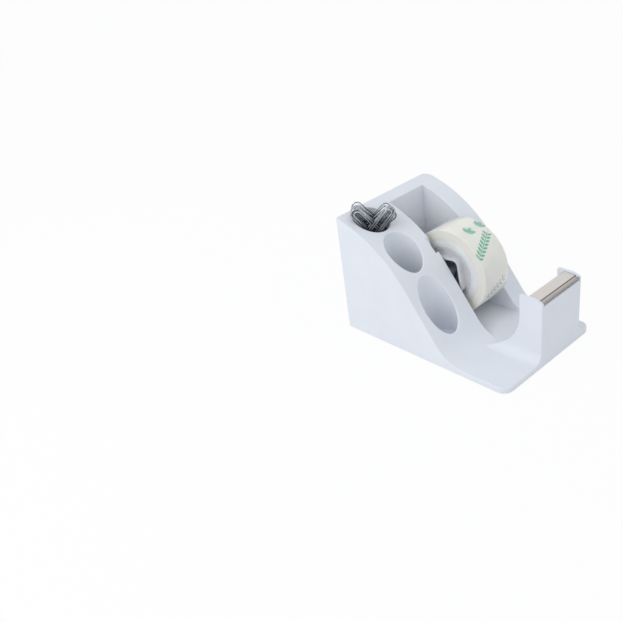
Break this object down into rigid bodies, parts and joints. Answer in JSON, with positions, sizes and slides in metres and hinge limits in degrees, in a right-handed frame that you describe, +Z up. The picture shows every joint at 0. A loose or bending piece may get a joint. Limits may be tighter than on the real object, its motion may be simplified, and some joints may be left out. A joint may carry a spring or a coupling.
{
  "type": "desk tape dispenser with wells",
  "caption": "Weighted desk tape dispenser with a lift-out roll hub, a cutter post, round pen wells and a round well of paper clips.",
  "frame": {"origin": "on the desk, under the middle of the base", "axes": "+X along the length towards the cutter, +Y across from the wells to the far wall, +Z up"},
  "size_m": [0.14, 0.0952, 0.0958],
  "materials": {
    "shell_plastic": "pale grey-blue moulding with a soft sheen",
    "cover_plastic": "grey moulding, fine texture",
    "screw_steel": "zinc plated",
    "foot_rubber": "dark foam rubber",
    "weight_iron": "as cast",
    "cutter_steel": "warm grey brushed steel",
    "tape_film": "cream wound film, green leaf marks on the outer turn",
    "core_plastic": "translucent grey ring",
    "hub_plastic": "white moulding",
    "axle_plastic": "dark moulded pin",
    "clip_wire": "bright plated wire"
  },
  "bodies": {
    "body": {"body_shell": "shell_plastic", "bottom_cover": "cover_plastic", "cover_screws": "screw_steel", "foot_rear_near": "foot_rubber", "foot_rear_far": "foot_rubber", "foot_front_near": "foot_rubber", "foot_front_far": "foot_rubber", "side_weight": "weight_iron", "post_weight": "weight_iron", "cutter_plate": "cutter_steel", "paper_clip_01": "clip_wire", "paper_clip_02": "clip_wire", "paper_clip_03": "clip_wire", "paper_clip_04": "clip_wire", "paper_clip_05": "clip_wire", "paper_clip_06": "clip_wire", "paper_clip_07": "clip_wire", "paper_clip_08": "clip_wire", "paper_clip_09": "clip_wire", "paper_clip_10": "clip_wire", "paper_clip_11": "clip_wire", "paper_clip_12": "clip_wire"},
    "axle": {"hub_axle": "axle_plastic"},
    "roll": {"tape_roll": "tape_film", "tape_core": "core_plastic", "hub_near_half": "hub_plastic", "hub_far_half": "hub_plastic"}
  },
  "joints": [
    {"name": "hub_lift", "type": "slide", "parent": "body", "child": "axle", "axis": [-0.3551, 0, 0.9348], "range_m": [0, 0.03]},
    {"name": "roll_spin", "type": "hinge", "parent": "axle", "child": "roll", "pos_m": [-0.0132, 0.01435, 0.0404], "axis": [0, 1, 0], "continuous": true}
  ]
}
